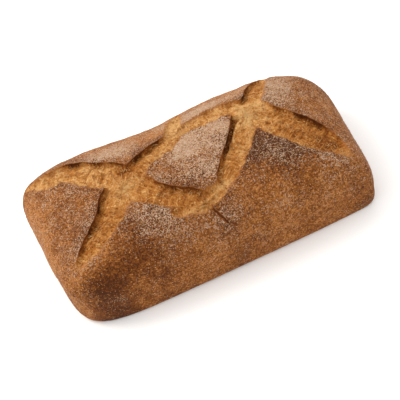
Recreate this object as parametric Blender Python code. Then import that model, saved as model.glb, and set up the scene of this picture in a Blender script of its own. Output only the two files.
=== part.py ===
"""An italian loaf: a long flat-based bread, scored on top with a V and an arch that cross.

Units are metres, +Z is up. X runs along the loaf, Y from its front to its back, and the
origin is under the middle of the loaf, on the surface that it rests on.
"""

import math

import bmesh
import bpy
import numpy as np
from mathutils import Vector, noise

MM = 0.001
TINY = 1e-6

CRUST_COLOUR = (0.36, 0.16, 0.06)
CRUST_ROUGHNESS = 0.78
CRUMB_COLOUR = (0.55, 0.27, 0.09)
CRUMB_ROUGHNESS = 0.7

# Driving sizes of the baked form
LENGTH = 300 * MM
WIDTH = 165 * MM
HEIGHT = 79 * MM
WIDEST_LEVEL = 23 * MM
CROWN_POWER = 2.9
FOOT_POWER = 2.6
FOOT_TUCK = 5 * MM

# How square each corner is in plan: 2 is an ellipse, and a high power a sharp corner
BACK_RIGHT_POWER = 3.8
BACK_LEFT_POWER = 7.5
FRONT_LEFT_POWER = 7
FRONT_RIGHT_POWER = 24

# The loaf isn't quite square: its ends slant, its back is longer, its middle sags forward
# and its right end swells
SLANT = -0.022
BACK_TAPER = 0.088
FORWARD_BOW = 3.8 * MM
RIGHT_SWELL = 2.5 * MM

# Where the crown sank while baking: middle (x, y), reach (x, y) and how far, down and forward
HOLLOWS = {
    "back_waist": ((-6 * MM, 58 * MM), (42 * MM, 34 * MM), 8 * MM),
    "back_right": ((78 * MM, 60 * MM), (38 * MM, 30 * MM), 3 * MM),
}
SINK_DIRECTION = (0, -0.6, -0.8)
LUMP_HEIGHT = 1.1 * MM
LUMP_SPACING = 38 * MM

# The scores, as stations (x, y, half width) in millimetres along each stroke of the blade
SCORES = {
    "v_left": (
        (-141, 61, 2),
        (-123, 51, 7.5),
        (-105, 44.5, 9),
        (-93, 36, 11.5),
        (-82, 24, 13),
        (-62, 7, 15),
        (-50, -15, 14),
        (-34, -33.5, 10.5),
        (-20, -45.5, 10),
        (-7, -52, 8),
        (1, -63, 4),
        (7, -77, 0.5),
    ),
    "v_right": (
        (-3, -58, 4.5),
        (8, -56, 7.5),
        (20, -48, 8),
        (32, -38, 10),
        (45, -22, 11.5),
        (62, 4, 13.5),
        (70, 17, 12),
        (79.5, 29.5, 10),
        (86, 44, 8.5),
        (94, 57, 5.5),
        (103, 66, 1),
    ),
    "arch_left": (
        (-121, -55, 3),
        (-108, -49, 8),
        (-98, -44, 11),
        (-83, -33, 13),
        (-69, -15, 15.5),
        (-43, 4.5, 12.5),
        (-30, 14.5, 11),
        (-12, 23.5, 10),
        (4, 30, 8.5),
        (16, 33.5, 7.5),
    ),
    "arch_right": (
        (-4, 26, 3),
        (8, 31, 8),
        (28, 31, 10),
        (48, 29, 11.5),
        (64, 23, 13),
        (77, 8, 15.5),
        (86, -5, 15.5),
        (96.5, -18, 17.5),
        (107, -33, 17.5),
        (117, -46, 14),
        (123, -56, 9),
        (128, -65, 3),
    ),
}
STROKE_STEP = 3.5 * MM
SCORE_DEPTH = 5 * MM
CUTTER_FLOOR = 20 * MM
CUTTER_TOP = 110 * MM

# The skin curls up beside a score, and the crumb swells again between its two edges
LIP_RISE = 2.5 * MM
LIP_REACH = 10 * MM
CRUMB_SWELL = 3 * MM
CRUMB_REACH = 7 * MM
CORE_FLOOR = 6 * MM

# Divisions of the form along X, Y and Z
SKIN_GRID = (44, 24, 12)
CORE_GRID = (52, 28, 6)
SHARP_ANGLE = math.radians(40)


def clear_scene():
    for thing in list(bpy.data.objects):
        bpy.data.objects.remove(thing, do_unlink=True)


def make_collection(name):
    collection = bpy.data.collections.new(name)
    bpy.context.scene.collection.children.link(collection)
    return collection


def make_material(name, colour, roughness):
    material = bpy.data.materials.new(name)
    material.use_nodes = True
    shader = material.node_tree.nodes["Principled BSDF"]
    shader.inputs["Base Color"].default_value = (*colour, 1)
    shader.inputs["Roughness"].default_value = roughness
    shader.inputs["Metallic"].default_value = 0
    material.diffuse_color = (*colour, 1)
    return material


def smooth_stroke(stations):
    """Points (x, y, half width) every STROKE_STEP on a smooth curve through the stations."""
    knots = np.array(stations, float) * MM
    ends = np.vstack([2 * knots[0] - knots[1], knots, 2 * knots[-1] - knots[-2]])
    points = []
    for before, start, end, after in zip(ends, ends[1:], ends[2:], ends[3:]):
        steps = max(1, round(math.dist(start[:2], end[:2]) / STROKE_STEP))
        for t in np.arange(steps) / steps:
            curve = (
                2 * start
                + (end - before) * t
                + (2 * before - 5 * start + 4 * end - after) * t**2
                + (3 * start - before - 3 * end + after) * t**3
            )
            points.append(curve / 2)
    points.append(knots[-1])
    return np.array(points)


STROKES = {name: smooth_stroke(stations) for name, stations in SCORES.items()}


def distance_to_scores(x, y):
    """How far a place in plan lies outside the nearest score, negative inside one."""
    stroke_points = np.vstack(list(STROKES.values()))
    gaps = np.hypot(x[:, None] - stroke_points[:, 0], y[:, None] - stroke_points[:, 1])
    return (gaps - stroke_points[:, 2]).min(axis=1)


def plan_radius(bearing):
    """Distance from the middle of the loaf to its outline, before its ends slant."""
    right = np.cos(bearing) >= 0
    back = np.where(right, BACK_RIGHT_POWER, BACK_LEFT_POWER)
    front = np.where(right, FRONT_RIGHT_POWER, FRONT_LEFT_POWER)
    power = np.where(np.sin(bearing) >= 0, back, front)
    along = np.abs(np.cos(bearing) / (LENGTH / 2)) ** power
    across = np.abs(np.sin(bearing) / (WIDTH / 2)) ** power
    return (along + across) ** (-1 / power)


def loaf_points(grid, inset, floor):
    """Maps points on a cube from -1 to 1 to the loaf's form, drawn in by an inset."""
    bearing = np.arctan2(grid[:, 1] * WIDTH, grid[:, 0] * LENGTH)
    reach = np.hypot(grid[:, 0] * LENGTH / 2, grid[:, 1] * WIDTH / 2)
    outline = plan_radius(bearing) - inset
    square = np.maximum(np.abs(grid[:, 0]), np.abs(grid[:, 1]))

    # Above the widest level the section is a domed superellipse
    rise = np.clip(grid[:, 2], 0, 1)
    plan = reach / outline
    shrink = (plan**CROWN_POWER + rise**CROWN_POWER + TINY**2) ** (-1 / CROWN_POWER)
    upper_radius = reach * shrink
    upper_height = WIDEST_LEVEL + (HEIGHT - inset - WIDEST_LEVEL) * rise * shrink

    # Below it the sides turn in to the flat base
    turn = np.clip(-grid[:, 2], 0, 1) * math.pi / 2
    fall = np.sin(turn) ** (2 / FOOT_POWER)
    tucked = FOOT_TUCK * (1 - np.cos(turn) ** (2 / FOOT_POWER))
    lower_radius = square * (outline - tucked)
    lower_height = floor + (WIDEST_LEVEL - floor) * (1 - fall)

    below = grid[:, 2] < 0
    radius = np.where(below, lower_radius, upper_radius)
    height = np.where(below, lower_height, upper_height)
    x = radius * np.cos(bearing)
    y = radius * np.sin(bearing)
    x = x + SLANT * y
    y = y - FORWARD_BOW * (1 - (2 * x / LENGTH) ** 2)
    x = x * (1 + BACK_TAPER * y / WIDTH)
    to_right = np.clip(2 * x / LENGTH, 0, 1) ** 2
    x = x + RIGHT_SWELL * to_right * (1 - (2 * y / WIDTH) ** 2)
    return np.stack([x, y, height], axis=1)


def sink_crown(points):
    """Lowers the hollows of the crown, and not the sides under them."""
    crown = np.clip(points[:, 2] / HEIGHT, 0, 1) ** 2
    for (x, y), (reach_x, reach_y), depth in HOLLOWS.values():
        away = ((points[:, 0] - x) / reach_x) ** 2 + ((points[:, 1] - y) / reach_y) ** 2
        sink = depth * np.exp(-away) * crown
        points += np.array(SINK_DIRECTION) * sink[:, None]


def add_lumps(points):
    """The gentle unevenness of dough shaped by hand, fading out at the base."""
    lumps = np.array([noise.noise(Vector(point) / LUMP_SPACING) for point in points])
    lumps *= LUMP_HEIGHT * np.clip(points[:, 2] / WIDEST_LEVEL, 0, 1)
    outward = points - np.array([0, 0, WIDEST_LEVEL])
    outward /= np.linalg.norm(outward, axis=1)[:, None]
    points += outward * lumps[:, None]


def make_grid_cube(divisions):
    """A cube from -1 to 1 whose edges along each axis are divided that many times."""
    form = bmesh.new()
    bmesh.ops.create_cube(form, size=2)
    for axis, count in enumerate(divisions):
        edges = [
            edge
            for edge in form.edges
            if abs(edge.verts[0].co[axis] - edge.verts[1].co[axis]) > TINY
        ]
        bmesh.ops.subdivide_edges(form, edges=edges, cuts=count - 1, use_grid_fill=True)
    return form


def make_object(name, form, collection, material):
    mesh = bpy.data.meshes.new(name)
    bmesh.ops.recalc_face_normals(form, faces=form.faces)
    form.to_mesh(mesh)
    form.free()
    mesh.materials.append(material)
    thing = bpy.data.objects.new(name, mesh)
    collection.objects.link(thing)
    return thing


def merge_flat_base(form, floor):
    """Turns the many faces of the flat base into one."""
    base = [face for face in form.faces if all(abs(v.co.z - floor) < TINY for v in face.verts)]
    bmesh.ops.dissolve_faces(form, faces=base, use_verts=True)


def make_form(divisions, inset, floor, relief):
    form = make_grid_cube(divisions)
    form.verts.ensure_lookup_table()
    grid = np.array([vertex.co for vertex in form.verts], float)
    points = loaf_points(grid, inset, floor)
    upper = grid[:, 2] > 0
    points[:, 2] += upper * relief(points) * np.clip(points[:, 2] / HEIGHT, 0, 1) ** 2
    sink_crown(points)
    add_lumps(points)
    for vertex, point in zip(form.verts, points):
        vertex.co = point
    merge_flat_base(form, floor)
    return form


def skin_relief(points):
    away = np.clip(distance_to_scores(points[:, 0], points[:, 1]), 0, None)
    return LIP_RISE * np.exp(-((away / LIP_REACH) ** 2))


def crumb_relief(points):
    within = np.clip(-distance_to_scores(points[:, 0], points[:, 1]), 0, None)
    return CRUMB_SWELL * (1 - np.exp(-((within / CRUMB_REACH) ** 2)))


def make_score_cutter(name, stroke, collection, material):
    """A straight-sided prism with the plan of one score."""
    along = np.gradient(stroke[:, :2], axis=0)
    along /= np.linalg.norm(along, axis=1)[:, None]
    side = np.stack([-along[:, 1], along[:, 0]], axis=1) * stroke[:, 2:3]
    left = stroke[:, :2] + side
    right = stroke[::-1, :2] - side[::-1]
    form = bmesh.new()
    corners = [form.verts.new((x, y, CUTTER_FLOOR)) for x, y in np.vstack([left, right])]
    face = form.faces.new(corners)
    raised = bmesh.ops.extrude_face_region(form, geom=[face])["geom"]
    tops = [part for part in raised if isinstance(part, bmesh.types.BMVert)]
    bmesh.ops.translate(form, verts=tops, vec=(0, 0, CUTTER_TOP - CUTTER_FLOOR))
    cutter = make_object(name, form, collection, material)
    hide_helper(cutter)
    return cutter


def hide_helper(thing):
    thing.hide_render = True
    thing.display_type = "WIRE"


def add_boolean(thing, other, operation):
    boolean = thing.modifiers.new(f"{operation.lower()} {other.name}", "BOOLEAN")
    boolean.operation = operation
    # The exact solver loses part of the loaf at some corner shapes, and this one doesn't
    boolean.solver = "MANIFOLD"
    boolean.material_mode = "TRANSFER"
    boolean.object = other


def centre_on_origin(things, reference):
    """Puts the middle of the finished loaf's box over the origin."""
    bpy.context.view_layer.update()
    graph = bpy.context.evaluated_depsgraph_get()
    corners = [Vector(corner) for corner in reference.evaluated_get(graph).bound_box]
    middle = (corners[0] + corners[6]) / 2
    for thing in things:
        for vertex in thing.data.vertices:
            vertex.co.x -= middle.x
            vertex.co.y -= middle.y


def build_loaf():
    bread = make_collection("italian_loaf")
    helpers = make_collection("helpers")
    crust = make_material("crust", CRUST_COLOUR, CRUST_ROUGHNESS)
    crumb = make_material("scored_crumb", CRUMB_COLOUR, CRUMB_ROUGHNESS)

    loaf = make_object("loaf", make_form(SKIN_GRID, 0, 0, skin_relief), bread, crust)
    core_form = make_form(CORE_GRID, SCORE_DEPTH, CORE_FLOOR, crumb_relief)
    core = make_object("crumb_core", core_form, helpers, crumb)
    hide_helper(core)

    cutters = [
        make_score_cutter(f"cutter_{name}", stroke, helpers, crumb)
        for name, stroke in STROKES.items()
    ]
    for cutter in cutters:
        add_boolean(loaf, cutter, "DIFFERENCE")
    add_boolean(loaf, core, "UNION")
    centre_on_origin([loaf, core, *cutters], loaf)

    loaf.data.shade_smooth()
    core.data.shade_smooth()
    loaf.data.set_sharp_from_angle(angle=SHARP_ANGLE)
    return loaf


clear_scene()
build_loaf()
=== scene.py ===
import math

import bmesh
import bpy
import numpy as np
from mathutils import Matrix, Vector, noise


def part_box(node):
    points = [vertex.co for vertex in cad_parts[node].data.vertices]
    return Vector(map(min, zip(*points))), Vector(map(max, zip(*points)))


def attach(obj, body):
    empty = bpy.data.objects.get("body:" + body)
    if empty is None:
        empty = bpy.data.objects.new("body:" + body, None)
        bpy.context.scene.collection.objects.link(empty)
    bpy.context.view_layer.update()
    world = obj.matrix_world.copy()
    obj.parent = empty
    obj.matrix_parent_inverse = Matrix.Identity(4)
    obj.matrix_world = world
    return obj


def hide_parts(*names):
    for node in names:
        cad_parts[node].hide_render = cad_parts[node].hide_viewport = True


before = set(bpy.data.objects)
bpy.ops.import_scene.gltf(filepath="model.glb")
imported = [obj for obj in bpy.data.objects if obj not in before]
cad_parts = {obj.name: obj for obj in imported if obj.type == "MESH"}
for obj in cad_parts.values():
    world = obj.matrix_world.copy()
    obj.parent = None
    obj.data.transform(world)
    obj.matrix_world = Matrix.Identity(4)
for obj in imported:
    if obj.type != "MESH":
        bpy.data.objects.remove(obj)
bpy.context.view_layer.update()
loafLow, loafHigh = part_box("loaf")

mm = 0.001
tiny = 1e-6
flatten = np.array([[1, 0, 0], [0, 1, 0]])  # from plan back to a point on the floor


def addObject(name, data):
    thing = bpy.data.objects.new(name, data)
    bpy.context.scene.collection.objects.link(thing)
    return thing


# Camera, at the photograph's angle: high over the front, and rolled clockwise
photoView = {
    "azimuth": -6,
    "elevation": 48,
    "roll": 19.85,
    "distance": 925 * mm,
    "target": Vector((1.8, 1.2, 35)) * mm,
    "targetPixel": (194.6, 184.5),  # where the target lies in the 400 pixel image
    "pixelsPerMetre": 1089,  # at the target
    "imageSize": 400,
    "sensor": 36,
    "clipStart": 10 * mm,
}


def makeCamera():
    view = photoView
    azimuth, elevation, roll = (math.radians(view[k]) for k in ("azimuth", "elevation", "roll"))
    flat = math.cos(elevation)
    back = Vector((math.sin(azimuth) * flat, -math.cos(azimuth) * flat, math.sin(elevation)))
    level = Vector((math.cos(azimuth), math.sin(azimuth), 0))
    above = back.cross(level)
    right = level * math.cos(roll) - above * math.sin(roll)
    up = above * math.cos(roll) + level * math.sin(roll)

    # Aim so that the target lands on its pixel
    focalPixels = view["pixelsPerMetre"] * view["distance"]
    middle = view["imageSize"] / 2
    aside = middle - view["targetPixel"][0]
    below = middle - view["targetPixel"][1]
    look = (right * aside - up * below - back * focalPixels).normalized()
    right = (right - look * right.dot(look)).normalized()
    turn = Matrix((right, (-look).cross(right), -look)).transposed()

    data = bpy.data.cameras.new("photoCamera")
    data.sensor_width = view["sensor"]
    data.lens = focalPixels / view["imageSize"] * view["sensor"]
    data.clip_start = view["clipStart"]
    camera = addObject("photoCamera", data)
    camera.matrix_world = Matrix.Translation(view["target"] + back * view["distance"]) @ turn.to_4x4()
    bpy.context.scene.camera = camera
    print("camera", round(data.lens, 1), "mm lens")


def newMaterial(name):
    material = bpy.data.materials.new(name)
    material.use_nodes = True
    return material, material.node_tree.nodes["Principled BSDF"]


# Studio: a white floor, a pale room, a wide soft box overhead and a lamp high behind the left end
studio = {
    "floorSide": 8,
    "floorDrop": 0.3 * mm,
    "floorColour": (1, 1, 1, 1),
    "floorRoughness": 0.9,
    "roomColour": (1, 0.99, 0.975, 1),
    "roomStrength": 1.02,
}
studioLamps = {  # place, side, power and colour; each looks at the loaf
    "overhead": (Vector((-0.1, 0.1, 1.4)), 2.2, 7, (1, 0.99, 0.97)),
    "key": (Vector((-0.8, 0.55, 1.05)), 0.6, 8.5, (1, 0.96, 0.9)),
}


def makeStudio():
    bpy.context.scene.view_settings.view_transform = "Standard"
    bpy.context.scene.view_settings.look = "None"

    form = bmesh.new()
    bmesh.ops.create_grid(form, x_segments=1, y_segments=1, size=studio["floorSide"] / 2)
    bmesh.ops.translate(form, verts=form.verts, vec=(0, 0, -studio["floorDrop"]))
    mesh = bpy.data.meshes.new("studioFloor")
    form.to_mesh(mesh)
    form.free()
    material, shader = newMaterial("floorWhite")
    shader.inputs["Base Color"].default_value = studio["floorColour"]
    shader.inputs["Roughness"].default_value = studio["floorRoughness"]
    shader.inputs["Specular IOR Level"].default_value = 0
    mesh.materials.append(material)
    floor = addObject("studioFloor", mesh)

    world = bpy.data.worlds.new("paleRoom")
    world.use_nodes = True
    background = world.node_tree.nodes["Background"]
    background.inputs["Color"].default_value = studio["roomColour"]
    background.inputs["Strength"].default_value = studio["roomStrength"]
    bpy.context.scene.world = world

    for name, (place, side, power, colour) in studioLamps.items():
        data = bpy.data.lights.new(name, "AREA")
        data.size = side
        data.energy = power
        data.color = colour
        lamp = addObject(name, data)
        lamp.location = place
        lamp.rotation_euler = (-place).to_track_quat("-Z", "Y").to_euler()
    print("studio: floor, room and lamps")


# The baked form, as the solid has it
breadForm = {
    "length": 300 * mm,
    "width": 165 * mm,
    "height": 79 * mm,
    "widestLevel": 23 * mm,
    "crownPower": 2.9,
    "footPower": 2.6,
    "footTuck": 5 * mm,
    "backRightPower": 3.8,  # a corner's power in plan: 2 is an ellipse, a high one is sharp
    "backLeftPower": 7.5,
    "frontLeftPower": 7,
    "frontRightPower": 24,
    "slant": -0.022,
    "backTaper": 0.088,
    "forwardBow": 3.8 * mm,
    "rightSwell": 2.5 * mm,
    "sinkDirection": (0, -0.6, -0.8),
    "lumpHeight": 1.1 * mm,
    "lumpSpacing": 38 * mm,
}
crownHollows = {  # middle (x, y), reach (x, y), depth
    "backWaist": ((-6 * mm, 58 * mm), (42 * mm, 34 * mm), 8 * mm),
    "backRight": ((78 * mm, 60 * mm), (38 * mm, 30 * mm), 3 * mm),
    "flapWaist": ((-44 * mm, 66 * mm), (24 * mm, 24 * mm), 2.5 * mm),
}

# The scores: stations (x, y, half width) in mm, then how sharply the skin's lip
# stands on the stroke's left and on its right, from 0 to 1
scoreStations = {
    "vLeft": (
        (-141, 61, 2, 0.3, 0.1),
        (-121.5, 49, 9.2, 0.5, 0.12),
        (-105, 44, 9.7, 0.75, 0.2),
        (-93, 36, 11.5, 0.8, 0.25),
        (-82, 24, 13, 0.75, 0.3),
        (-62, 7, 15, 0.9, 0.3),
        (-50, -15, 14, 0.55, 0.25),
        (-34, -33.5, 10.5, 0.8, 0.25),
        (-20, -45.5, 10, 0.9, 0.3),
        (-7, -52, 8, 0.6, 0.4),
        (-1, -61, 3.2, 0.9, 0.6),
        (2.5, -68, 1.6, 1, 1),
        (10, -80, 0.5, 1, 1),
    ),
    "vRight": (
        (-3, -58, 4.5, 0.5, 0.3),
        (8, -56, 7.5, 0.5, 0.25),
        (20, -48, 8, 0.55, 0.2),
        (32, -38, 10, 0.7, 0.2),
        (45, -22, 11.5, 1, 0.25),
        (62, 4, 13.5, 1, 0.3),
        (70, 17, 12, 0.8, 0.2),
        (79.5, 29.5, 10, 0.9, 0.2),
        (87, 43, 9.8, 0.9, 0.12),
        (96, 56, 7.6, 0.7, 0.1),
        (105, 65, 2.6, 0.4, 0.1),
    ),
    "archLeft": (
        (-119.5, -55, 4.4, 0.45, 0.2),
        (-108, -49.5, 8.8, 0.75, 0.15),
        (-98, -44, 11.2, 0.9, 0.2),
        (-83, -33, 13, 1, 0.15),
        (-69, -15, 15.5, 0.9, 0.2),
        (-43, 3.5, 12, 1, 0.3),
        (-30, 13.5, 9.8, 0.9, 0.35),
        (-12, 23, 9.6, 0.85, 0.4),
        (4, 30, 8.5, 0.45, 0.35),
        (16, 33.5, 7.5, 0.2, 0.3),
    ),
    "archRight": (
        (-4, 26, 3, 0.4, 0.3),
        (8, 31, 8, 0.35, 0.35),
        (28, 31, 10, 0.25, 0.3),
        (48, 29, 11.5, 0.25, 0.3),
        (64, 23, 13, 0.4, 0.4),
        (77, 8, 15.5, 0.5, 0.45),
        (86, -5, 15.5, 0.8, 0.55),
        (96.5, -18, 17.5, 0.85, 0.5),
        (107, -33, 17.5, 0.8, 0.4),
        (117, -46, 14, 0.5, 0.3),
        (123, -56, 9, 0.2, 0.2),
        (128, -65, 3, 0.1, 0.1),
    ),
    "diamondNotch": (
        (-28, 6, 3.5, 0.3, 0.3),
        (-17, 11, 6, 0.3, 0.3),
        (-8, 17, 8, 0.3, 0.3),
        (0, 25, 7, 0.3, 0.3),
    ),
    "overBack": (
        (-1, 34, 6, 0.4, 0.2),
        (3, 42, 7, 0.5, 0.15),
        (6, 50, 7, 0.3, 0.1),
        (10, 57, 5, 0.2, 0.1),
        (14, 63, 2, 0.1, 0.1),
    ),
    "footFold": (
        (-27, -56, 4.5, 0.3, 0.15),
        (-16, -58, 6, 0.3, 0.1),
        (-5, -61, 5, 0.3, 0.1),
    ),
}
# The raised diamond's ragged rim: x, y in mm
diamondRim = (
    (56, 18), (46, 0), (37, -13), (28, -26), (18, -41), (14, -48.5), (8, -49.5),
    (-1, -46), (-12, -37), (-23, -29), (-31, -19), (-38, -5), (-32, -1), (-19, 2),
    (-14, 8), (-7, 8), (6, 21), (17, 23), (35, 18), (44, 21), (50, 21),
)
scoreCut = {
    "step": 2 * mm,
    "strokeGap": 0.5,  # keeps the grain of one stroke apart from the next one's
    "depth": 3.6 * mm,
    "coreFloor": 6 * mm,
    "fullDepthHalfWidth": 6 * mm,
    "leastDepth": 0.3,
    "sharpWall": 1 * mm,
    "softWall": 6.5 * mm,
    "softStart": 0.35,  # how far out a soft wall begins, as a share of its width
    "blend": 1.2 * mm,
    "lipRise": 2.5 * mm,
    "leastRise": 0.35,
    "lipReach": 10 * mm,
    "lipCurl": 0.9 * mm,
    "lipSpacing": 15 * mm,
    "lipVary": 0.6,
    "mostLip": 1.15,
    "curlReach": 2.5 * mm,
    "overhang": 1.7 * mm,
    "overhangReach": 3.5 * mm,
    "footLean": 0.6,  # how far the wall's foot goes back under the lip, as a share of the overhang
    "footReach": 2 * mm,
    "crumbSwell": 3 * mm,
    "crumbReach": 7 * mm,
}

noiseShift = (17.3, 5.9, 11.1)  # how far each seed moves the noise
noiseSeeds = {
    "lumps": 0,
    "strands": 1,
    "pores": 2,
    "wobble": 3,
    "fray": 4,
    "pebbles": 6,
    "swells": 7,
    "lips": 9,
    "wander": 12,
    "folds": 15,
}


def noiseField(points, spacing, kind):
    offset = Vector([noiseSeeds[kind] * shift for shift in noiseShift])
    return np.array([noise.noise(Vector(p) / spacing + offset) for p in points])


def smoothStep(value, low, high):
    t = np.clip((value - low) / (high - low), 0, 1)
    return t * t * (3 - 2 * t)


def bell(distance, reach):
    # All of it at no distance, then falling away softly
    return np.exp(-((distance / reach) ** 2))


def crownShare(points):
    # From none at the floor to all at the crown
    return np.clip(points[:, 2] / breadForm["height"], 0, 1) ** 2


def smoothStroke(stations):
    scale = np.array([mm, mm, mm, 1, 1])
    knots = np.array(stations, float) * scale
    ends = np.vstack([2 * knots[0] - knots[1], knots, 2 * knots[-1] - knots[-2]])
    points = []
    for before, start, end, after in zip(ends, ends[1:], ends[2:], ends[3:]):
        steps = max(1, round(math.dist(start[:2], end[:2]) / scoreCut["step"]))
        for t in np.arange(steps) / steps:
            curve = (
                2 * start
                + (end - before) * t
                + (2 * before - 5 * start + 4 * end - after) * t**2
                + (3 * start - before - 3 * end + after) * t**3
            )
            points.append(curve / 2)
    points.append(knots[-1])
    return np.array(points)


def strokeTable():
    # One row per point of every stroke: place, half width, lips, direction, way along
    rows = []
    for number, stations in enumerate(scoreStations.values()):
        stroke = smoothStroke(stations)
        heading = np.gradient(stroke[:, :2], axis=0)
        step = np.linalg.norm(heading, axis=1)
        heading /= step[:, None]
        along = np.cumsum(step) + number * scoreCut["strokeGap"]
        rows.append(np.column_stack([stroke, heading, along]))
    return np.vstack(rows)


def rimDistance(plan, rim):
    # How far each place lies within a closed rim, below zero outside it
    corners = np.array(rim) * mm
    nearest = np.full(len(plan), np.inf)
    within = np.zeros(len(plan), bool)
    for start, end in zip(corners, np.roll(corners, -1, axis=0)):
        side = end - start
        way = plan - start
        share = np.clip(way @ side / (side @ side), 0, 1)
        nearest = np.minimum(nearest, np.linalg.norm(way - share[:, None] * side, axis=1))
        level = (start[1] > plan[:, 1]) != (end[1] > plan[:, 1])
        crossing = start[0] + side[0] * way[:, 1] / (side[1] + tiny)
        within ^= level & (plan[:, 0] < crossing)
    return np.where(within, nearest, -nearest)


def scoreField(plan):
    # What every place in plan needs to know of the scores near it
    table = strokeTable()
    x, y, half, leftLip, rightLip, headX, headY, way = table.T
    shallow = scoreCut["leastDepth"]
    depthShare = np.clip(shallow + (1 - shallow) * half / scoreCut["fullDepthHalfWidth"], 0, 1)
    fields = {k: np.empty(len(plan)) for k in ("edge", "lip", "depth", "along", "across")}
    fields["inward"] = np.empty((len(plan), 2))
    chunk = 6000  # places worked at once, to save memory
    for first in range(0, len(plan), chunk):
        part = slice(first, first + chunk)
        dx = plan[part, 0:1] - x
        dy = plan[part, 1:2] - y
        away = np.hypot(dx, dy) + tiny
        gap = away - half
        edge = gap.min(axis=1)
        nearest = gap.argmin(axis=1)
        weight = np.exp(-(gap - edge[:, None]) / scoreCut["blend"])
        weight /= weight.sum(axis=1)[:, None]
        side = headX * dy - headY * dx
        fields["edge"][part] = edge
        fields["lip"][part] = (weight * np.where(side > 0, leftLip, rightLip)).sum(axis=1)
        fields["depth"][part] = (weight * depthShare).sum(axis=1)
        inX = -(weight * dx / away).sum(axis=1)
        inY = -(weight * dy / away).sum(axis=1)
        fields["inward"][part] = np.stack([inX, inY], axis=1)
        rows = np.arange(len(edge))
        fields["across"][part] = side[rows, nearest]
        ahead = headX[nearest] * dx[rows, nearest] + headY[nearest] * dy[rows, nearest]
        fields["along"][part] = way[nearest] + ahead
    fields["edge"] = np.maximum(fields["edge"], rimDistance(plan, diamondRim))
    return fields


def planRadius(bearing):
    form = breadForm
    right = np.cos(bearing) >= 0
    back = np.where(right, form["backRightPower"], form["backLeftPower"])
    front = np.where(right, form["frontRightPower"], form["frontLeftPower"])
    power = np.where(np.sin(bearing) >= 0, back, front)
    along = np.abs(np.cos(bearing) / (form["length"] / 2)) ** power
    across = np.abs(np.sin(bearing) / (form["width"] / 2)) ** power
    return (along + across) ** (-1 / power)


def breadPoints(grid, inset, floor):
    # From a cube of -1 to 1 to the bread's form, drawn in by an inset
    form = breadForm
    length, width, widest = form["length"], form["width"], form["widestLevel"]
    bearing = np.arctan2(grid[:, 1] * width, grid[:, 0] * length)
    reach = np.hypot(grid[:, 0] * length / 2, grid[:, 1] * width / 2)
    outline = planRadius(bearing) - inset
    square = np.maximum(np.abs(grid[:, 0]), np.abs(grid[:, 1]))
    rise = np.clip(grid[:, 2], 0, 1)
    power = form["crownPower"]
    shrink = ((reach / outline) ** power + rise**power + tiny**2) ** (-1 / power)
    upperHeight = widest + (form["height"] - inset - widest) * rise * shrink
    turn = np.clip(-grid[:, 2], 0, 1) * math.pi / 2
    fall = np.sin(turn) ** (2 / form["footPower"])
    tucked = form["footTuck"] * (1 - np.cos(turn) ** (2 / form["footPower"]))
    lowerHeight = floor + (widest - floor) * (1 - fall)
    below = grid[:, 2] < 0
    radius = np.where(below, square * (outline - tucked), reach * shrink)
    height = np.where(below, lowerHeight, upperHeight)
    x = radius * np.cos(bearing)
    y = radius * np.sin(bearing)
    x = x + form["slant"] * y
    y = y - form["forwardBow"] * (1 - (2 * x / length) ** 2)
    x = x * (1 + form["backTaper"] * y / width)
    toRight = np.clip(2 * x / length, 0, 1) ** 2
    x = x + form["rightSwell"] * toRight * (1 - (2 * y / width) ** 2)
    return np.stack([x, y, height], axis=1)


def sinkAndLump(points):
    form = breadForm
    crown = crownShare(points)
    for (x, y), (reachX, reachY), depth in crownHollows.values():
        away = ((points[:, 0] - x) / reachX) ** 2 + ((points[:, 1] - y) / reachY) ** 2
        points += np.array(form["sinkDirection"]) * (depth * np.exp(-away) * crown)[:, None]
    lumps = noiseField(points, form["lumpSpacing"], "lumps") * form["lumpHeight"]
    lumps *= np.clip(points[:, 2] / form["widestLevel"], 0, 1)
    outward = points - np.array([0, 0, form["widestLevel"]])
    outward /= np.linalg.norm(outward, axis=1)[:, None]
    points += outward * lumps[:, None]


# The bread's visible surface: a grid on the form, finer in and beside the scores
breadMesh = {
    "divisions": (118, 66, 40),
    "levelShare": 0.3,  # share of the height's divisions under the widest level
    "refineAbove": 0.2,  # in the grid's height, from -1 to 1
    "bandReach": 4 * mm,
    "edgeReach": 2.2 * mm,
    "frayReach": 12 * mm,
    "edgeWobble": 1.1 * mm,
    "leastWobble": 0.6,
    "wobbleSpacing": 7 * mm,
    "edgeFray": 0.7 * mm,
    "leastFray": 0.7,
    "fraySpacing": 2.4 * mm,
}


def makeGridCube(divisions):
    form = bmesh.new()
    bmesh.ops.create_cube(form, size=2)
    for axis, count in enumerate(divisions):
        edges = [e for e in form.edges if abs(e.verts[0].co[axis] - e.verts[1].co[axis]) > tiny]
        bmesh.ops.subdivide_edges(form, edges=edges, cuts=count - 1, use_grid_fill=True)
    return form


def gridOf(form):
    # The cube's points, with more of the height's divisions above the widest level
    grid = np.array([v.co for v in form.verts], float)
    share = breadMesh["levelShare"]
    level = 2 * share - 1
    z = grid[:, 2]
    grid[:, 2] = np.where(z >= level, (z - level) / (1 - level), (z - level) / (1 + level))
    return grid


def frayedField(skin):
    # The scores' fields with ragged edges
    size = breadMesh
    field = scoreField(skin[:, :2])
    near = np.flatnonzero(np.abs(field["edge"]) < size["frayReach"])
    soft = 1 - field["lip"][near]
    wobble = noiseField(skin[near], size["wobbleSpacing"], "wobble") * size["edgeWobble"]
    fray = noiseField(skin[near], size["fraySpacing"], "fray") * size["edgeFray"]
    field["edge"][near] += wobble * (size["leastWobble"] + soft) + fray * (size["leastFray"] + soft)
    return field


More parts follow.
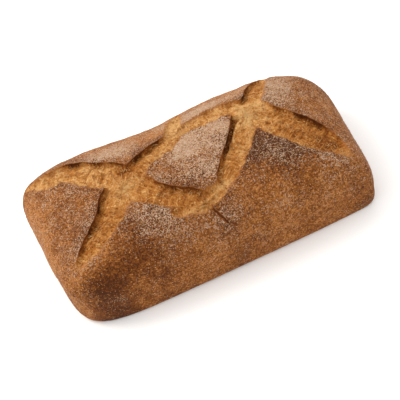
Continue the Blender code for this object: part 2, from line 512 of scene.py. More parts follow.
def refineNearScores(form, low, high):
    # Halve the edges between two distances from a score's edge
    form.verts.ensure_lookup_table()
    form.verts.index_update()
    grid = gridOf(form)
    edge = scoreField(breadPoints(grid, 0, 0)[:, :2])["edge"]
    chosen = ((edge > low) & (edge < high) & (grid[:, 2] > breadMesh["refineAbove"])).tolist()
    edges = [e for e in form.edges if chosen[e.verts[0].index] and chosen[e.verts[1].index]]
    bmesh.ops.subdivide_edges(form, edges=edges, cuts=1, use_grid_fill=True)


def shapeBread(grid):
    cut = scoreCut
    skin = breadPoints(grid, 0, 0)
    field = frayedField(skin)
    edge = field["edge"]
    vary = noiseField(skin[:, :2] @ flatten, cut["lipSpacing"], "lips")
    lip = np.clip(field["lip"] * (1 + cut["lipVary"] * vary), 0, cut["mostLip"])
    field["lip"] = lip
    outside = np.clip(edge, 0, None)
    within = np.clip(-edge, 0, None)
    upper = grid[:, 2] > 0
    crumb = breadPoints(grid, cut["depth"], cut["coreFloor"])

    # The skin rises to a curled lip, and the crumb swells between the lips
    lipShare = cut["leastRise"] + (1 - cut["leastRise"]) * lip
    rise = cut["lipRise"] * bell(outside, cut["lipReach"]) * lipShare
    rise += cut["lipCurl"] * lip * bell(outside, cut["curlReach"])
    swell = cut["crumbSwell"] * (1 - bell(within, cut["crumbReach"]))
    skin[:, 2] += upper * rise * crownShare(skin)
    crumb[:, 2] += upper * swell * crownShare(crumb)

    wall = cut["sharpWall"] + (cut["softWall"] - cut["sharpWall"]) * (1 - lip)
    start = cut["softStart"] * wall * (1 - lip)
    down = np.clip((start - edge) / wall, 0, 1)
    trench = field["depth"] * down * down * (3 - 2 * down) * upper
    field["trench"] = trench
    points = skin + (crumb - skin) * trench[:, None]
    sinkAndLump(points)

    # A sharp lip leans over the crumb, and the foot of its wall lies under it
    lean = np.where(
        edge >= 0,
        bell(edge, cut["overhangReach"]),
        1 - (1 + cut["footLean"]) * smoothStep(-edge, 0, cut["sharpWall"]),
    )
    past = np.clip(-edge - cut["sharpWall"], 0, None)
    footLean = -cut["footLean"] * bell(past, cut["footReach"])
    lean = np.where(past > 0, footLean, lean)
    lean *= cut["overhang"] * lip**2 * upper * field["depth"]
    points[:, :2] += field["inward"] * lean[:, None]
    return points, field


# Flour and browning, as patches in plan: middle (x, y), reach (x, y) in mm, amount
flourPatches = (
    (-62, 42, 24, 12, 0.85),
    (-40, 40, 16, 9, 0.4),
    (-112, 56, 20, 7, -0.1),
    (30, 52, 50, 7, 0.55),
    (22, 45, 26, 6, 0.6),
    (52, 46, 14, 6, 0.4),
    (6, 10, 22, 12, 0.95),
    (26, 12, 18, 12, 0.45),
    (42, 8, 12, 14, 0.65),
    (4, -4, 24, 7, 0.6),
    (31, -13, 9, 7, 0.6),
    (-6, -22, 24, 12, 0.3),
    (14, -30, 16, 16, 0.52),
    (-20, -64, 12, 6, -0.12),
    (-118, -42, 9, 9, 0.35),
    (-54, -42, 18, 12, 0.24),
    (-40, -59, 24, 12, 0.34),
    (-110, -55, 15, 9, 0.35),
    (-88, -80, 30, 22, -0.3),
    (64, -18, 16, 12, -0.14),
    (0, -80, 24, 10, 0.15),
    (82, -46, 24, 12, 0.25),
    (108, -66, 22, 12, 0.12),
    (104, 30, 20, 24, 0.75),
    (127, -72, 8, 6, 0.15),
    (-112, 2, 32, 40, 0.1),
)
brownPatches = (
    (-100, -82, 26, 13, 0.44),
    (-112, -78, 18, 10, 0.36),
    (-123, -78, 14, 10, 0.12),
    (-110, -57, 18, 10, -0.6),
    (-82, -87, 12, 6, -0.25),
    (-40, -88, 24, 10, 0.1),
    (132, -62, 8, 12, -0.4),
    (-60, -68, 26, 15, 0.29),
    (-48, -50, 26, 14, 0.45),
    (66, -30, 28, 26, 0.75),
    (92, -48, 28, 18, 0.4),
    (2, -34, 24, 14, 0.45),
    (10, 0, 30, 18, 0.25),
    (140, -76, 12, 18, 0.15),
    (-108, 2, 26, 34, 0.22),
    (-112, -36, 16, 14, 0.15),
    (-145, 24, 12, 60, -0.25),
    (-70, 46, 34, 12, 0.1),
    (20, 52, 60, 9, -1.2),
    (108, 26, 26, 30, 0.2),
)
# Crumb tone patches, part toasting and part painted shade where the crumb lies in a lip's shadow:
# middle (x, y), reach (x, y) in mm, amount
toastAndShadePatches = (
    (-34, -36, 26, 12, 0.9),
    (-20, -53, 14, 6, 0.7),
    (-52, 9, 12, 7, 1.3),
    (-34, 9, 14, 9, 0.75),
    (-42, -18, 10, 9, 0.8),
    (51, -3, 7, 14, 0.95),
    (88, 6, 11, 7, 0.8),
    (104, -35, 8, 12, 0.5),
    (122, -42, 8, 10, 0.6),
    (96, 54, 10, 12, 0.7),
    (-114, 44, 14, 9, -0.6),
    (5, 48, 10, 14, -0.9),
    (-14, 27, 9, 5, 0.5),
    (6, -75, 6, 8, 1),
    (-98, -46, 22, 12, 0.7),
    (-80, -26, 18, 14, 0.1),
    (32, -36, 16, 16, 0.5),
    (98, -22, 20, 18, 0.8),
    (119, -54, 14, 18, 1.1),
    (-60, -6, 18, 14, -0.2),
    (69, 14, 18, 14, -1.2),
    (-16, 18, 24, 10, -0.5),
    (26, 30, 40, 8, -0.2),
    (-94, 30, 24, 12, -0.15),
)
crustPaint = {
    "baseFlour": 0.1,
    "sideFlour": 0.12,
    "flourLevels": (20 * mm, 62 * mm),  # from the sides' flour up to the crown's
    "rimFlour": 0.12,
    "rimFlourReach": 14 * mm,
    "baseBrown": 0.16,
    "rimBrown": 0.45,
    "leastRimBrown": 0.6,
    "rimReach": 8 * mm,
    "most": 1.2,
    "softGlow": 0.9,
    "glowReach": 6 * mm,
    # painted shadow: how much darker the crumb is under a sharp lip, and how far that reaches
    "underLipShade": 0.9,
    "underShadeReach": 6 * mm,
    # painted shadow under a sharp lip: where it stops on the skin, and how far into the crumb it
    # reaches
    "shadeEdge": 0.4 * mm,
    "shadeReach": 1.5 * mm,
    "topLevels": (8 * mm, 30 * mm),  # nothing lies on the bread's lower sides
    "looseGap": 1 * mm,  # no grain or fibre lies this near to a lip
    "crumbyEdge": (10 * mm, -2 * mm),
    "fibreLift": 0.15,
}


def patchField(points, patches):
    total = np.zeros(len(points))
    for x, y, reachX, reachY, amount in patches:
        away = ((points[:, 0] / mm - x) / reachX) ** 2 + ((points[:, 1] / mm - y) / reachY) ** 2
        total += amount * np.exp(-away)
    return total


breadRelief = {
    "pebble": 0.3 * mm,
    "pebbleSpacing": 3.5 * mm,
    "swell": 0.5 * mm,
    "swellSpacing": 14 * mm,
    "footFade": 12 * mm,
    "leastTrench": 0.05,  # from this share of a score's depth the surface is crumb
    "trenchGain": 1.4,
    "strand": 0.3 * mm,
    "strandWidth": 2.4 * mm,
    "strandLength": 11 * mm,
    "strandSharpness": 3,
    "fold": 0.4 * mm,
    "foldSize": 2.3,  # how much larger the folds are than the strands
    "foldSharpness": 4,
    "crag": 0.5 * mm,
    "cragSpacing": 7 * mm,
    "cragFractal": (0.8, 2.1, 4),  # dimension, lacunarity and octaves
    "pore": 0.3 * mm,
    "poreSpacing": 3 * mm,
    "poreLevel": 0.25,
    "poreSharpness": 3,
    "wander": 1.2 * mm,
    "wanderSpacing": 6 * mm,
}


def reliefOf(points, field):
    # How far each point stands out of the smooth form, along its normal
    size = breadRelief
    crust = noiseField(points, size["pebbleSpacing"], "pebbles") * size["pebble"]
    crust += noiseField(points, size["swellSpacing"], "swells") * size["swell"]
    relief = crust * np.clip(points[:, 2] / size["footFade"], 0, 1)

    inBand = np.flatnonzero(field["trench"] > size["leastTrench"])
    torn = points[inBand]
    along = field["along"][inBand] / size["strandWidth"]
    across = field["across"][inBand] / size["strandLength"]
    stretched = np.column_stack([along, across, np.zeros(len(inBand))])
    strands = np.abs(noiseField(stretched, 1, "strands"))
    folds = np.abs(noiseField(stretched / size["foldSize"], 1, "folds"))
    coarse = torn / size["cragSpacing"]
    crags = np.array([noise.fractal(Vector(p), *size["cragFractal"]) for p in coarse])
    pores = np.clip(noiseField(torn, size["poreSpacing"], "pores") - size["poreLevel"], 0, None)
    crumb = (1 - size["strandSharpness"] * strands) * size["strand"]
    crumb += crags * size["crag"]
    crumb -= pores * size["poreSharpness"] * size["pore"]
    crumb += (1 - size["foldSharpness"] * folds) * size["fold"]
    crumb += tornHeight(torn)
    share = np.clip(field["trench"][inBand] * size["trenchGain"], 0, 1)
    relief[inBand] = relief[inBand] * (1 - share) + crumb * share
    field["height"] = np.zeros(len(points))
    field["height"][inBand] = crumb * share
    return relief


def toastAndShadeOf(points, field):
    # How toasted the crumb is, with painted shade in it: paler beside a soft edge, and darker under a
    # sharp lip as painted shadow
    paint = crustPaint
    within = np.clip(-field["edge"], 0, None)
    glow = (1 - field["lip"]) * bell(within, paint["glowReach"])
    underShade = field["lip"] * np.exp(-within / paint["underShadeReach"])
    toastAndShade = patchField(points, toastAndShadePatches) - paint["softGlow"] * glow
    return toastAndShade + paint["underLipShade"] * underShade


# Fibres and creases that stand out in the torn crumb: x, y, half width and height in mm
tornLines = {
    "ridgeBesideDiamond": (
        (60, 8, 1.5, 1.2),
        (55, 3, 1.6, 2),
        (49, -5, 1.6, 2.2),
        (42, -15, 1.5, 1.9),
        (35, -25, 1.3, 1.3),
        (28, -33, 1.1, 0.6),
    ),
    "creaseBesideDiamond": (
        (55, 13, 1.6, -1),
        (50, 3, 2, -1.8),
        (43, -8, 1.8, -1.8),
        (36, -18, 1.4, -1.4),
        (27, -29, 1.1, -0.8),
    ),
    "creaseOverRightPanel": (
        (72, -14, 1.4, -0.8),
        (82, -29, 2, -1.4),
        (91, -42, 2, -1.3),
        (99, -53, 1.5, -0.8),
        (107, -60, 1.2, -0.4),
    ),
    "flapFibreLeft": ((-74, 30, 1, 0.6), (-69, 14, 1, 1.2), (-62, -5, 0.9, 0.7)),
    "flapFibreMiddle": ((-63, 20, 1, 0.9), (-61, 6, 0.9, 1.3), (-58, -9, 0.8, 0.8)),
    "flapFibreRight": ((-50, 12, 1, 0.9), (-54, 1, 1, 1.3), (-59, -9, 0.8, 0.7)),
    "leftFibre": ((-98, 31, 1, 0.5), (-82, 16, 1.2, 1), (-66, -5, 1, 0.8)),
    "rightFibre": ((-37, -7, 1, 0.6), (-49, -10, 1, 1.1), (-59, -11, 0.8, 0.7)),
    "lowerFibre": ((-47, -1, 0.9, 0.8), (-53, -7, 0.9, 1.1), (-62, -14, 0.8, 0.6)),
    "archFibre": (
        (76, 7, 1.2, 0.6),
        (87, -6, 1.4, 1.1),
        (97, -26, 1.3, 1.1),
        (107, -42, 1.2, 0.9),
        (115, -56, 1, 0.5),
    ),
    "crossFibre": ((54, 33, 1, 0.6), (62, 26, 1.1, 1.1), (68, 15, 1.1, 1.2), (73, 1, 1, 0.7)),
    "crossSwirl": ((68, 23, 1, 0.7), (67, 13, 1, 1.1), (62, 3, 1, 1), (54, -3, 0.9, 0.5)),
    "footFibre": (
        (-24, -59, 1, 0.6),
        (-12, -59, 1.2, 1.1),
        (-2, -60, 1.2, 1.2),
        (3, -66, 1, 0.8),
    ),
    "footFold": ((-12, -53, 1, 0.6), (-2, -57, 1.2, 1.1), (9, -54, 1.1, 1), (17, -48, 0.9, 0.5)),
    "creaseUnderLeftPanel": ((-113, -51, 1, -0.4), (-98, -39, 1.2, -1), (-84, -25, 1.3, -1)),
    "leftCrease": ((-118, 50, 0.8, -0.5), (-103, 41, 1, -1.1), (-88, 32, 1, -0.8)),
}


def tornHeight(points):
    size = breadRelief
    wander = noiseField(points, size["wanderSpacing"], "wander")[:, None] * size["wander"]
    total = np.zeros(len(points))
    for stations in tornLines.values():
        line = smoothStroke([(x, y, reach, height, 0) for x, y, reach, height in stations])
        away = np.hypot(points[:, 0:1] + wander - line[:, 0], points[:, 1:2] - line[:, 1])
        nearest = away.argmin(axis=1)
        near = away[np.arange(len(points)), nearest]
        total += line[nearest, 3] * mm * bell(near, line[nearest, 2])
    return total


# Where the strokes cross, the crumb's fibres spread out like a star: middle and reach in mm
fibreStars = ((-60, -6, 22), (68, 14, 24), (-2, -58, 16))


def starField(points):
    # Bearing and distance from the nearest star's middle, and the star's share there
    star = np.zeros((len(points), 3))
    for x, y, reach in fibreStars:
        dx = points[:, 0] / mm - x
        dy = points[:, 1] / mm - y
        away = np.hypot(dx, dy)
        share = bell(away, reach)
        here = share > star[:, 2]
        star[here] = np.stack([np.arctan2(dy, dx), away, share], axis=1)[here]
    return star


def paintOf(points, field):
    # How much flour and browning lie at each point
    paint = crustPaint
    outside = np.clip(field["edge"], 0, None)
    high = smoothStep(points[:, 2], *paint["flourLevels"])
    flour = patchField(points, flourPatches)
    flour += paint["rimFlour"] * np.exp(-outside / paint["rimFlourReach"])
    flour = flour * high + paint["sideFlour"] + paint["baseFlour"] * high
    brown = patchField(points, brownPatches) + paint["baseBrown"]
    rim = np.exp(-outside / paint["rimReach"])
    lipShare = paint["leastRimBrown"] + (1 - paint["leastRimBrown"]) * field["lip"]
    brown += paint["rimBrown"] * rim * lipShare
    return flour, brown


def addAttributes(mesh, points, field, flour, brown):
    paint = crustPaint
    edge = field["edge"]
    # Painted shadow: how much of a sharp lip's shade lies on the crumb, falling off away from the lip
    shade = field["lip"] * np.exp(-np.clip(-edge, 0, None) / paint["shadeReach"])
    onTop = smoothStep(points[:, 2], *paint["topLevels"])
    attributes = {
        "edge": edge / mm,
        "lip": field["lip"],
        "flour": np.clip(flour, 0, paint["most"]),
        "brown": np.clip(brown, 0, paint["most"]),
        "shade": shade * (edge < paint["shadeEdge"]),
        "crag": field["height"] / mm,
        "toastAndShade": field["toastAndShade"],
        "star": starField(points),
        "grain": np.column_stack([field["along"], field["across"], np.zeros(len(edge))]),
        "fibre": np.column_stack([field["inward"], np.full(len(edge), paint["fibreLift"])]),
        "dusted": np.clip(flour, 0, 1) * onTop * (edge > paint["looseGap"]),
        "torn": (edge < -paint["looseGap"]) * field["trench"],
        "crumby": smoothStep(edge, *paint["crumbyEdge"]) * onTop,
    }
    for name, values in attributes.items():
        single = values.ndim == 1
        layer = mesh.attributes.new(name, "FLOAT" if single else "FLOAT_VECTOR", "POINT")
        socket = "value" if single else "vector"
        layer.data.foreach_set(socket, np.ascontiguousarray(values, np.float32).ravel())


def makeBread():
    size = breadMesh
    form = makeGridCube(size["divisions"])
    print("bread grid", len(form.faces), "faces")
    refineNearScores(form, -math.inf, size["bandReach"])
    refineNearScores(form, -size["edgeReach"], size["edgeReach"])
    form.verts.ensure_lookup_table()
    points, field = shapeBread(gridOf(form))
    middle = (points.min(axis=0) + points.max(axis=0)) / 2
    solidMiddle = (np.array(loafLow) + np.array(loafHigh)) / 2
    for vertex, point in zip(form.verts, points):
        vertex.co = point
    bmesh.ops.recalc_face_normals(form, faces=form.faces)
    mesh = bpy.data.meshes.new("bread_crust")
    form.to_mesh(mesh)
    form.free()

    normals = np.empty(len(points) * 3, np.float32)
    mesh.vertex_normals.foreach_get("vector", normals)
    field["toastAndShade"] = toastAndShadeOf(points, field)
    points += normals.reshape(-1, 3) * reliefOf(points, field)[:, None]
    points[:, 2] = np.maximum(points[:, 2], 0)
    flour, brown = paintOf(points, field)
    points[:, :2] += (solidMiddle - middle)[:2]  # onto the solid's place
    mesh.vertices.foreach_set("co", points.astype(np.float32).ravel())
    mesh.update()
    addAttributes(mesh, points, field, flour, brown)
    mesh.shade_smooth()

    bread = addObject("bread_crust", mesh)
    mesh.calc_loop_triangles()
    print("bread surface", len(mesh.loop_triangles), "triangles")
    return bread


# Node helpers
def addNode(tree, kind, **settings):
    # A setting is an input's value, or else the node's own
    node = tree.nodes.new(kind)
    for name, value in settings.items():
        if name in node.inputs:
            node.inputs[name].default_value = value
        else:
            setattr(node, name, value)
    return node


def mathNode(tree, operation, first, second):
    node = addNode(tree, "ShaderNodeMath", operation=operation)
    for socket, value in zip(node.inputs, (first, second)):
        if isinstance(value, (int, float)):
            socket.default_value = value
        else:
            tree.links.new(value, socket)
    return node.outputs[0]


def sumOf(tree, constant, *terms):
    # constant + the sum of value times factor
    total = None
    for value, factor in terms:
        term = mathNode(tree, "MULTIPLY", value, factor)
        total = term if total is None else mathNode(tree, "ADD", total, term)
    return mathNode(tree, "ADD", total, constant)


def rangeNode(tree, value, low, high, toLow=0.0, toHigh=1.0):
    node = addNode(tree, "ShaderNodeMapRange", interpolation_type="SMOOTHSTEP")
    tree.links.new(value, node.inputs["Value"])
    settings = (("From Min", low), ("From Max", high), ("To Min", toLow), ("To Max", toHigh))
    for name, number in settings:
        node.inputs[name].default_value = number
    return node.outputs["Result"]


def noiseNode(tree, vector, scale, detail=2.0, roughness=0.5, distortion=0.0):
    node = addNode(tree, "ShaderNodeTexNoise", Scale=scale, Detail=detail, Roughness=roughness)
    node.inputs["Distortion"].default_value = distortion
    tree.links.new(vector, node.inputs["Vector"])
    return node.outputs["Fac"]


def cellNode(tree, vector, scale):
    # Three random numbers for each small cell of space, and how far its middle is
    node = addNode(tree, "ShaderNodeTexVoronoi", Scale=scale)
    tree.links.new(vector, node.inputs["Vector"])
    channels = tree.nodes.new("ShaderNodeSeparateColor")
    tree.links.new(node.outputs["Color"], channels.inputs[0])
    return channels.outputs, node.outputs["Distance"]


def mixValue(tree, share, first, second):
    node = tree.nodes.new("ShaderNodeMix")
    for socket, value in zip((0, 2, 3), (share, first, second)):
        tree.links.new(value, node.inputs[socket])
    return node.outputs[0]


def mixColour(tree, share, first, second):
    node = addNode(tree, "ShaderNodeMix", data_type="RGBA")
    tree.links.new(share, node.inputs[0])
    for socket, value in ((6, first), (7, second)):
        if isinstance(value, tuple):
            node.inputs[socket].default_value = (*value, 1)
        else:
            tree.links.new(value, node.inputs[socket])
    return node.outputs[2]


def rampNode(tree, value, stops):
    node = tree.nodes.new("ShaderNodeValToRGB")
    tree.links.new(value, node.inputs["Fac"])
    ramp = node.color_ramp
    while len(ramp.elements) < len(stops):
        ramp.elements.new(0.5)
    for element, (place, colour) in zip(ramp.elements, stops):
        element.position = place
        element.color = (*colour, 1)
    return node.outputs["Color"]


def attributeOf(tree, name, socket="Fac"):
    node = addNode(tree, "ShaderNodeAttribute", attribute_name=name)
    return node.outputs[socket]


def newGroup(name, inputs, outputs):
    group = bpy.data.node_groups.new(name, "ShaderNodeTree")
    for way, sockets in (("INPUT", inputs), ("OUTPUT", outputs)):
        for title, kind in sockets.items():
            group.interface.new_socket(title, in_out=way, socket_type="NodeSocket" + kind)
    return group, group.nodes.new("NodeGroupInput")


def endGroup(group, **results):
    end = group.nodes.new("NodeGroupOutput")
    for name, value in results.items():
        group.links.new(value, end.inputs[name])
    return group


def useGroup(tree, group, **inputs):
    node = addNode(tree, "ShaderNodeGroup", node_tree=group)
    for name, value in inputs.items():
        tree.links.new(value, node.inputs[name])
    return node


# Finishes: linear colours
crustColours = {
    "pale": (0.42, 0.175, 0.052),
    "ochre": (0.235, 0.077, 0.0135),
    "brown": (0.135, 0.038, 0.0062),
    "dark": (0.062, 0.0165, 0.003),
    "rim": (0.30, 0.105, 0.030),
    "flour": (0.61, 0.44, 0.325),
    "flourThin": (0.37, 0.19, 0.078),
}
crumbColours = {
    "cream": (0.60, 0.345, 0.135),
    "gold": (0.45, 0.197, 0.050),
    "amber": (0.31, 0.103, 0.016),
    # the darkest crumb, for deep toast and for painted shade
    "darkToastAndShade": (0.155, 0.042, 0.006),
    # dark brown for the painted shadow under sharp lips
    "shadowBrown": (0.055, 0.014, 0.003),
}
crustStops = {"pale": 0.0, "ochre": 0.33, "brown": 0.68, "dark": 1.0}
crumbStops = {"cream": 0.0, "gold": 0.36, "amber": 0.7, "darkToastAndShade": 1.0}
fibrePulls = {  # the vector that the fibres follow, and its scale along each axis
    "acrossStroke": ("Grain", (620, 105, 1)),
    "alongStroke": ("Grain", (85, 640, 1)),
    "fromStar": ("Star", (15, 0.12, 0)),
}
breadFinish = {
    "specular": 0.08,
    "crustRoughness": 0.62,
    "flourRoughness": 0.9,
    "bumpDepth": 0.7 * mm,
    "frayScale": 480,
    "sharpFray": 1.6,  # how far noise moves the skin's edge at a sharp lip, in mm
    "softFray": 4.0,  # and how much more at a soft one
    "sharpBlend": 0.7,
    "softBlend": 3.4,
    "rimShare": 2.0,
    # the painted shadow under sharp lips: where it starts and is full, and how dark it gets
    "shadowLevels": (0.35, 0.95),
    "mostShadow": 0.85,
}


def makeFlourGroup():
    group, start = newGroup(
        "flourDust",
        {"Vector": "Vector", "Amount": "Float"},
        {"Mask": "Float", "Color": "Color", "Height": "Float"},
    )
    vector = start.outputs["Vector"]
    amount = start.outputs["Amount"]
    clump = noiseNode(group, vector, scale=230, detail=3, roughness=0.65, distortion=1.2)
    cloud = noiseNode(group, vector, scale=48, detail=3, roughness=0.6)
    cover = sumOf(group, -1.72, (clump, 1.7), (cloud, 1.3), (amount, 0.9))
    random, away = cellNode(group, vector, scale=1250)
    grains = rangeNode(group, mathNode(group, "SUBTRACT", cover, random[0]), low=-0.28, high=0.2)
    strength = rangeNode(group, amount, low=0, high=0.8, toLow=0.55)
    mask = mathNode(group, "MULTIPLY", grains, strength)
    colour = mixColour(group, random[1], crustColours["flourThin"], crustColours["flour"])
    dome = sumOf(group, 0.8, (away, -1.0))
    height = mathNode(group, "MULTIPLY", mask, dome)
    return endGroup(group, Mask=mask, Color=colour, Height=height)


def makeCrustGroup():
    group, start = newGroup(
        "bakedCrust",
        {"Vector": "Vector", "Browning": "Float"},
        {"Color": "Color", "Height": "Float"},
    )
    vector = start.outputs["Vector"]
    big = noiseNode(group, vector, scale=22, detail=3, roughness=0.6)
    patch = noiseNode(group, vector, scale=62, detail=3, roughness=0.6, distortion=0.8)
    middle = noiseNode(group, vector, scale=150, detail=4, roughness=0.65, distortion=1.0)
    fine = noiseNode(group, vector, scale=620, detail=2, roughness=0.6, distortion=0.6)
    random, away = cellNode(group, vector, scale=1000)
    speck = rangeNode(group, random[1], low=0.86, high=0.94)
    tone = sumOf(
        group,
        -1.7,
        (big, 0.8),
        (patch, 0.65),
        (middle, 0.8),
        (fine, 1.0),
        (random[0], 0.62),
        (speck, -0.42),
        (start.outputs["Browning"], 0.9),
    )
    stops = [(place, crustColours[name]) for name, place in crustStops.items()]
    height = sumOf(group, 0, (fine, -0.7), (middle, -0.8), (away, -0.4))
    return endGroup(group, Color=rampNode(group, tone, stops), Height=height)


def makeCrumbGroup():
    group, start = newGroup(
        "tornCrumb",
        {
            "Vector": "Vector",
            "Grain": "Vector",
            "Star": "Vector",
            "Crag": "Float",
            "Toast": "Float",
            "Shade": "Float",
        },
        {"Color": "Color", "Height": "Float"},
    )
    vector = start.outputs["Vector"]
    strands = {}
    for name, (title, scale) in fibrePulls.items():
        stretch = addNode(group, "ShaderNodeMapping", Scale=scale)
        group.links.new(start.outputs[title], stretch.inputs["Vector"])
        pulled = stretch.outputs["Vector"]
        strands[name] = noiseNode(group, pulled, scale=1, detail=4, roughness=0.7, distortion=0.6)
    star = group.nodes.new("ShaderNodeSeparateXYZ")
    group.links.new(start.outputs["Star"], star.inputs[0])
    patch = noiseNode(group, vector, scale=60, detail=3, roughness=0.6, distortion=0.5)
    sway = noiseNode(group, vector, scale=33, detail=1, roughness=0.5)
    lengthwise = rangeNode(group, sway, low=0.42, high=0.58)
    strand = mixValue(group, lengthwise, strands["acrossStroke"], strands["alongStroke"])
    strand = mixValue(group, star.outputs["Z"], strand, strands["fromStar"])
    crag = noiseNode(group, vector, scale=230, detail=4, roughness=0.7, distortion=1.2)
    random, away = cellNode(group, vector, scale=850)
    pit = rangeNode(group, random[1], low=0.955, high=0.985)
    glint = rangeNode(group, random[2], low=0.94, high=0.98)
    # The tone carries painted shade: it is darker in pits, towards the cells' edges, where the torn
    # crumb lies low, and in the shadow under a sharp lip
    tone = sumOf(
        group,
        -1.71,
        (strand, 1.85),
        (patch, 1.0),
        (crag, 0.85),
        (random[0], 0.3),
        (pit, 0.4),
        (glint, -0.4),
        (away, 0.25),
        (start.outputs["Toast"], 0.35),
        (start.outputs["Shade"], 0.5),
        (start.outputs["Crag"], -0.24),
    )
    stops = [(place, crumbColours[name]) for name, place in crumbStops.items()]
    height = sumOf(group, 0, (strand, -1.6), (crag, -0.7), (away, -0.35), (pit, -0.7))
    return endGroup(group, Color=rampNode(group, tone, stops), Height=height)


def makeBreadMaterial():
    finish = breadFinish
    material, shader = newMaterial("bakedBread")
    tree = material.node_tree
    place = tree.nodes.new("ShaderNodeTexCoord").outputs["Object"]
    edge = attributeOf(tree, "edge")
    shade = attributeOf(tree, "shade")
    flour = useGroup(tree, makeFlourGroup(), Vector=place, Amount=attributeOf(tree, "flour"))
    crust = useGroup(tree, makeCrustGroup(), Vector=place, Browning=attributeOf(tree, "brown"))
    crumb = useGroup(
        tree,
        makeCrumbGroup(),
        Vector=place,
        Grain=attributeOf(tree, "grain", "Vector"),
        Star=attributeOf(tree, "star", "Vector"),
        Crag=attributeOf(tree, "crag"),
        Toast=attributeOf(tree, "toastAndShade"),
        Shade=shade,
    )

    # Skin or crumb: noise frays the edge between them, and more so where it is soft
    grainy = noiseNode(tree, place, scale=finish["frayScale"], detail=3, roughness=0.7)
    soft = sumOf(tree, 1.0, (attributeOf(tree, "lip"), -1.0))
    frayReach = sumOf(tree, finish["sharpFray"], (soft, finish["softFray"]))
    fray = mathNode(tree, "MULTIPLY", grainy, frayReach)
    intoSkin = sumOf(tree, -1.0, (edge, 1.0), (fray, 1.0))
    blend = sumOf(tree, finish["sharpBlend"], (soft, finish["softBlend"]))
    skinShare = rangeNode(tree, mathNode(tree, "DIVIDE", intoSkin, blend), low=0, high=1)

    floured = flour.outputs["Mask"]
    skinColour = mixColour(tree, floured, crust.outputs["Color"], flour.outputs["Color"])
    colour = mixColour(tree, skinShare, crumb.outputs["Color"], skinColour)
    between = mathNode(tree, "MULTIPLY", skinShare, sumOf(tree, 1.0, (skinShare, -1.0)))
    rim = mathNode(tree, "MULTIPLY", between, finish["rimShare"])
    colour = mixColour(tree, rim, colour, crustColours["rim"])
    # Painted shadow: the crumb goes dark brown just under a sharp lip, where its shadow falls
    shadowShare = rangeNode(tree, shade, *finish["shadowLevels"], toHigh=finish["mostShadow"])
    colour = mixColour(tree, shadowShare, colour, crumbColours["shadowBrown"])
    tree.links.new(colour, shader.inputs["Base Color"])

    roughness = rangeNode(
        tree, floured, low=0, high=1, toLow=finish["crustRoughness"], toHigh=finish["flourRoughness"]
    )
    tree.links.new(roughness, shader.inputs["Roughness"])
    shader.inputs["Specular IOR Level"].default_value = finish["specular"]
    skinHeight = mathNode(tree, "ADD", crust.outputs["Height"], flour.outputs["Height"])
    height = mixValue(tree, skinShare, crumb.outputs["Height"], skinHeight)
    bump = addNode(tree, "ShaderNodeBump", Strength=1.0, Distance=finish["bumpDepth"])
    tree.links.new(height, bump.inputs["Height"])
    tree.links.new(bump.outputs["Normal"], shader.inputs["Normal"])
    return material


def finishPiece(piece, material):
    piece.data.materials.clear()
    piece.data.materials.append(material)
    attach(piece, "root")


# What lies on the bread, scattered over its surface by an attribute
scatters = {
    "flour_grains": {
        "over": "dusted",
        "perSquareMetre": 520000,
        "smallest": 0.3 * mm,
        "largest": 0.75 * mm,
        "sink": -0.05 * mm,
        "seed": 3,
        "subdivisions": 1,
        "finish": "flourGrain",
        "colours": (crustColours["flourThin"], crustColours["flour"]),
        "colourScale": 700,
        "roughness": 0.95,
    },
    "crumb_fibres": {
        "over": "torn",
        "perSquareMetre": 140000,
        "smallest": 2 * mm,
        "largest": 6 * mm,
        "sink": 0.15 * mm,
        "seed": 8,
        "along": "fibre",
        "sides": 4,
        "segments": 3,
        "radii": (0.07, 0.025),  # as shares of the fibre's length
        "spread": (1.1, 1.1, 0.35),
        "bend": 1.6 * mm,
        "bendScale": 260,
        "finish": "crumbFibre",
        "colours": (crumbColours["amber"], crumbColours["cream"]),
        "colourScale": 160,
        "roughness": 0.8,
    },
    "loose_crumbs": {
        "over": "crumby",
        "perSquareMetre": 2600,
        "smallest": 0.9 * mm,
        "largest": 2.0 * mm,
        "sink": 0.25 * mm,
        "seed": 5,
        "subdivisions": 2,
        "bend": 0.9 * mm,
        "bendScale": 900,
        "finish": "looseCrumb",
        "colours": (crumbColours["gold"], crumbColours["cream"]),
        "colourScale": 400,
        "roughness": 0.85,
    },
}


def vectorMath(tree, operation, vector, **settings):
    node = addNode(tree, "ShaderNodeVectorMath", operation=operation, **settings)
    tree.links.new(vector, node.inputs[0])
    return node


def storedValue(tree, name, kind):
    node = addNode(tree, "GeometryNodeInputNamedAttribute", data_type=kind)
    node.inputs["Name"].default_value = name
    return node.outputs["Attribute"]


def moveBy(tree, geometry, offset):
    node = tree.nodes.new("GeometryNodeSetPosition")
    tree.links.new(geometry, node.inputs["Geometry"])
    tree.links.new(offset, node.inputs["Offset"])
    return node.outputs[0]


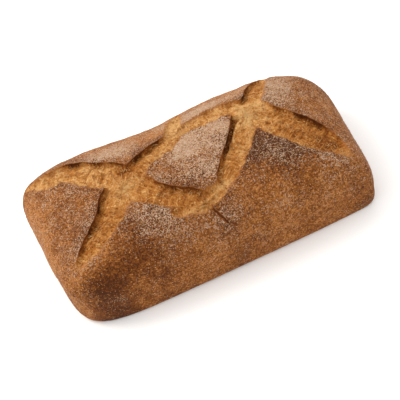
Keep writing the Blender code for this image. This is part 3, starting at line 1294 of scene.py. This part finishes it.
def scatterShape(tree, settings, turn):
    # Shapes of unit size: a fibre lies along the surface, and the rest are turned at random
    if "along" not in settings:
        turn.inputs[1].default_value = (math.tau, math.tau, math.tau)
        ball = addNode(tree, "GeometryNodeMeshIcoSphere", Radius=0.5)
        ball.inputs["Subdivisions"].default_value = settings["subdivisions"]
        return ball.outputs["Mesh"], turn.outputs[0]
    turn.inputs[0].default_value = (-1, -1, -1)
    turn.inputs[1].default_value = (1, 1, 1)
    cone = addNode(tree, "GeometryNodeMeshCone", Vertices=settings["sides"], Depth=1)
    cone.inputs["Side Segments"].default_value = settings["segments"]
    cone.inputs["Radius Bottom"].default_value = settings["radii"][0]
    cone.inputs["Radius Top"].default_value = settings["radii"][1]
    spread = vectorMath(tree, "MULTIPLY_ADD", turn.outputs[0])
    spread.inputs[1].default_value = settings["spread"]
    tree.links.new(storedValue(tree, settings["along"], "FLOAT_VECTOR"), spread.inputs[2])
    align = addNode(tree, "FunctionNodeAlignRotationToVector", axis="Z")
    tree.links.new(spread.outputs[0], align.inputs["Vector"])
    return cone.outputs["Mesh"], align.outputs["Rotation"]


def bendShapes(tree, settings, geometry):
    # Noise in space bends the fibres and dents the crumbs
    dents = addNode(tree, "ShaderNodeTexNoise", Scale=settings["bendScale"], Detail=1.0)
    middle = vectorMath(tree, "SUBTRACT", dents.outputs["Color"])
    middle.inputs[1].default_value = (0.5, 0.5, 0.5)
    offset = vectorMath(tree, "SCALE", middle.outputs[0], Scale=settings["bend"])
    return moveBy(tree, geometry, offset.outputs[0])


def makeScatterTree(name, material):
    settings = scatters[name]
    tree = bpy.data.node_groups.new(name, "GeometryNodeTree")
    tree.interface.new_socket("Geometry", in_out="INPUT", socket_type="NodeSocketGeometry")
    for title in ("Density", "Smallest", "Largest", "Sink"):
        tree.interface.new_socket(title, in_out="INPUT", socket_type="NodeSocketFloat")
    tree.interface.new_socket("Geometry", in_out="OUTPUT", socket_type="NodeSocketGeometry")
    start = tree.nodes.new("NodeGroupInput")
    end = tree.nodes.new("NodeGroupOutput")
    seed = settings["seed"]

    where = storedValue(tree, settings["over"], "FLOAT")
    density = mathNode(tree, "MULTIPLY", where, start.outputs["Density"])
    points = addNode(tree, "GeometryNodeDistributePointsOnFaces", Seed=seed)
    tree.links.new(start.outputs["Geometry"], points.inputs["Mesh"])
    tree.links.new(density, points.inputs["Density"])

    size = addNode(tree, "FunctionNodeRandomValue", Seed=seed + 1)
    tree.links.new(start.outputs["Smallest"], size.inputs[2])
    tree.links.new(start.outputs["Largest"], size.inputs[3])
    turn = addNode(tree, "FunctionNodeRandomValue", data_type="FLOAT_VECTOR", Seed=seed + 2)
    shape, rotation = scatterShape(tree, settings, turn)
    lower = vectorMath(tree, "SCALE", points.outputs["Normal"])
    tree.links.new(mathNode(tree, "MULTIPLY", start.outputs["Sink"], -1.0), lower.inputs["Scale"])
    moved = moveBy(tree, points.outputs["Points"], lower.outputs[0])

    placed = tree.nodes.new("GeometryNodeInstanceOnPoints")
    tree.links.new(moved, placed.inputs["Points"])
    tree.links.new(shape, placed.inputs["Instance"])
    tree.links.new(rotation, placed.inputs["Rotation"])
    tree.links.new(size.outputs[1], placed.inputs["Scale"])
    real = tree.nodes.new("GeometryNodeRealizeInstances")
    tree.links.new(placed.outputs[0], real.inputs[0])
    geometry = real.outputs[0]
    if "bend" in settings:
        geometry = bendShapes(tree, settings, geometry)
    painted = addNode(tree, "GeometryNodeSetMaterial", Material=material)
    tree.links.new(geometry, painted.inputs["Geometry"])
    tree.links.new(painted.outputs[0], end.inputs["Geometry"])
    return tree


def makeScatter(name, bread, material):
    settings = scatters[name]
    tree = makeScatterTree(name, material)
    carrier = addObject(name + "_carrier", bread.data)
    modifier = carrier.modifiers.new(name, "NODES")
    modifier.node_group = tree
    values = {
        "Density": settings["perSquareMetre"],
        "Smallest": settings["smallest"],
        "Largest": settings["largest"],
        "Sink": settings["sink"],
    }
    for item in tree.interface.items_tree:
        if item.in_out == "INPUT" and item.name in values:
            modifier[item.identifier] = float(values[item.name])
    bpy.context.view_layer.update()
    evaluated = carrier.evaluated_get(bpy.context.evaluated_depsgraph_get())
    mesh = bpy.data.meshes.new_from_object(evaluated)
    mesh.name = name
    carrier.modifiers.remove(modifier)
    bpy.data.objects.remove(carrier)
    piece = addObject(name, mesh)
    mesh.shade_smooth()
    mesh.calc_loop_triangles()
    print(name, len(mesh.loop_triangles), "triangles")
    return piece


def makeScatterMaterial(name):
    # Two tones mixed by noise about as large as the pieces
    settings = scatters[name]
    material, shader = newMaterial(settings["finish"])
    tree = material.node_tree
    place = tree.nodes.new("ShaderNodeTexCoord").outputs["Object"]
    spots = noiseNode(tree, place, scale=settings["colourScale"], detail=2, roughness=0.6)
    share = rangeNode(tree, spots, low=0.32, high=0.68)
    tree.links.new(mixColour(tree, share, *settings["colours"]), shader.inputs["Base Color"])
    shader.inputs["Roughness"].default_value = settings["roughness"]
    shader.inputs["Specular IOR Level"].default_value = 0.1
    return material


makeCamera()
makeStudio()
bread = makeBread()
finishPiece(bread, makeBreadMaterial())
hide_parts("loaf")
for name in scatters:
    material = makeScatterMaterial(name)
    finishPiece(makeScatter(name, bread, material), material)
